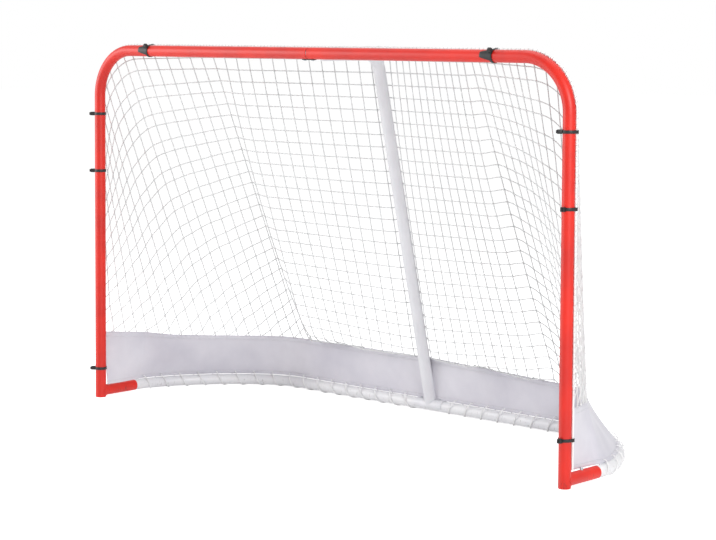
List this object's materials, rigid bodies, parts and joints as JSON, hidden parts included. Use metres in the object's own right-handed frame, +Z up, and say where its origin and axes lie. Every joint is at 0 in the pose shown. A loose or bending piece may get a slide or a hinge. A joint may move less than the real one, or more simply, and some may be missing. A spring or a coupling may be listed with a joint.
{
  "type": "street hockey goal",
  "caption": "Street hockey goal: bent tube front frame, bowed base tube, sloping centre strut, white net with a vinyl skirt laced to the base.",
  "frame": {"origin": "on the floor, in the middle of the goal's outline in plan", "axes": "+Z up; +X along the crossbar, to the right of someone who faces the mouth; +Y from the mouth back into the net"},
  "size_m": [1.9597, 0.6215, 1.1749],
  "materials": {
    "red_powder_coat": "smooth gloss powder coat on steel tube",
    "white_powder_coat": "smooth semi-gloss powder coat on steel tube",
    "zinc_plate": "bright zinc plate",
    "black_nylon": "moulded black nylon",
    "net_twine": "white polyester twine",
    "skirt_vinyl": "pale grey vinyl coated cloth",
    "white_cord": "white braided cord"
  },
  "bodies": {
    "goal": {"base_sleeve": "zinc_plate", "centre_strut": "white_powder_coat", "crossbar_left_tie": "black_nylon", "crossbar_right_tie": "black_nylon", "crossbar_sleeve": "zinc_plate", "left_base_tube": "white_powder_coat", "left_button_spring": "zinc_plate", "left_foot_socket": "red_powder_coat", "left_frame_tube": "red_powder_coat", "left_lacing": "white_cord", "left_lower_tie": "black_nylon", "left_middle_tie": "black_nylon", "left_post_plug": "black_nylon", "left_upper_tie": "black_nylon", "net_edge_rope": "white_cord", "net_left_back": "net_twine", "net_left_side": "net_twine", "net_left_top": "net_twine", "net_right_back": "net_twine", "net_right_side": "net_twine", "net_right_top": "net_twine", "net_skirt": "skirt_vinyl", "right_base_tube": "white_powder_coat", "right_button_spring": "zinc_plate", "right_foot_socket": "red_powder_coat", "right_frame_tube": "red_powder_coat", "right_lacing": "white_cord", "right_lower_tie": "black_nylon", "right_middle_tie": "black_nylon", "right_post_plug": "black_nylon", "right_upper_tie": "black_nylon", "strut_foot_saddle": "white_powder_coat", "strut_foot_screw_left": "zinc_plate", "strut_foot_screw_right": "zinc_plate", "strut_top_saddle": "black_nylon", "strut_top_screw_left": "zinc_plate", "strut_top_screw_right": "zinc_plate"},
    "left_button": {"left_lock_button": "zinc_plate"},
    "right_button": {"right_lock_button": "zinc_plate"}
  },
  "joints": [
    {"name": "left_button_press", "type": "slide", "parent": "goal", "child": "left_button", "axis": [0, 0, 1], "range_m": [-0.0095, 0], "stiffness_N_per_m": 400, "springref_m": 0.004, "deforming": ["left_button_spring"]},
    {"name": "right_button_press", "type": "slide", "parent": "goal", "child": "right_button", "axis": [0, 0, 1], "range_m": [-0.0095, 0], "stiffness_N_per_m": 400, "springref_m": 0.004, "deforming": ["right_button_spring"]}
  ]
}
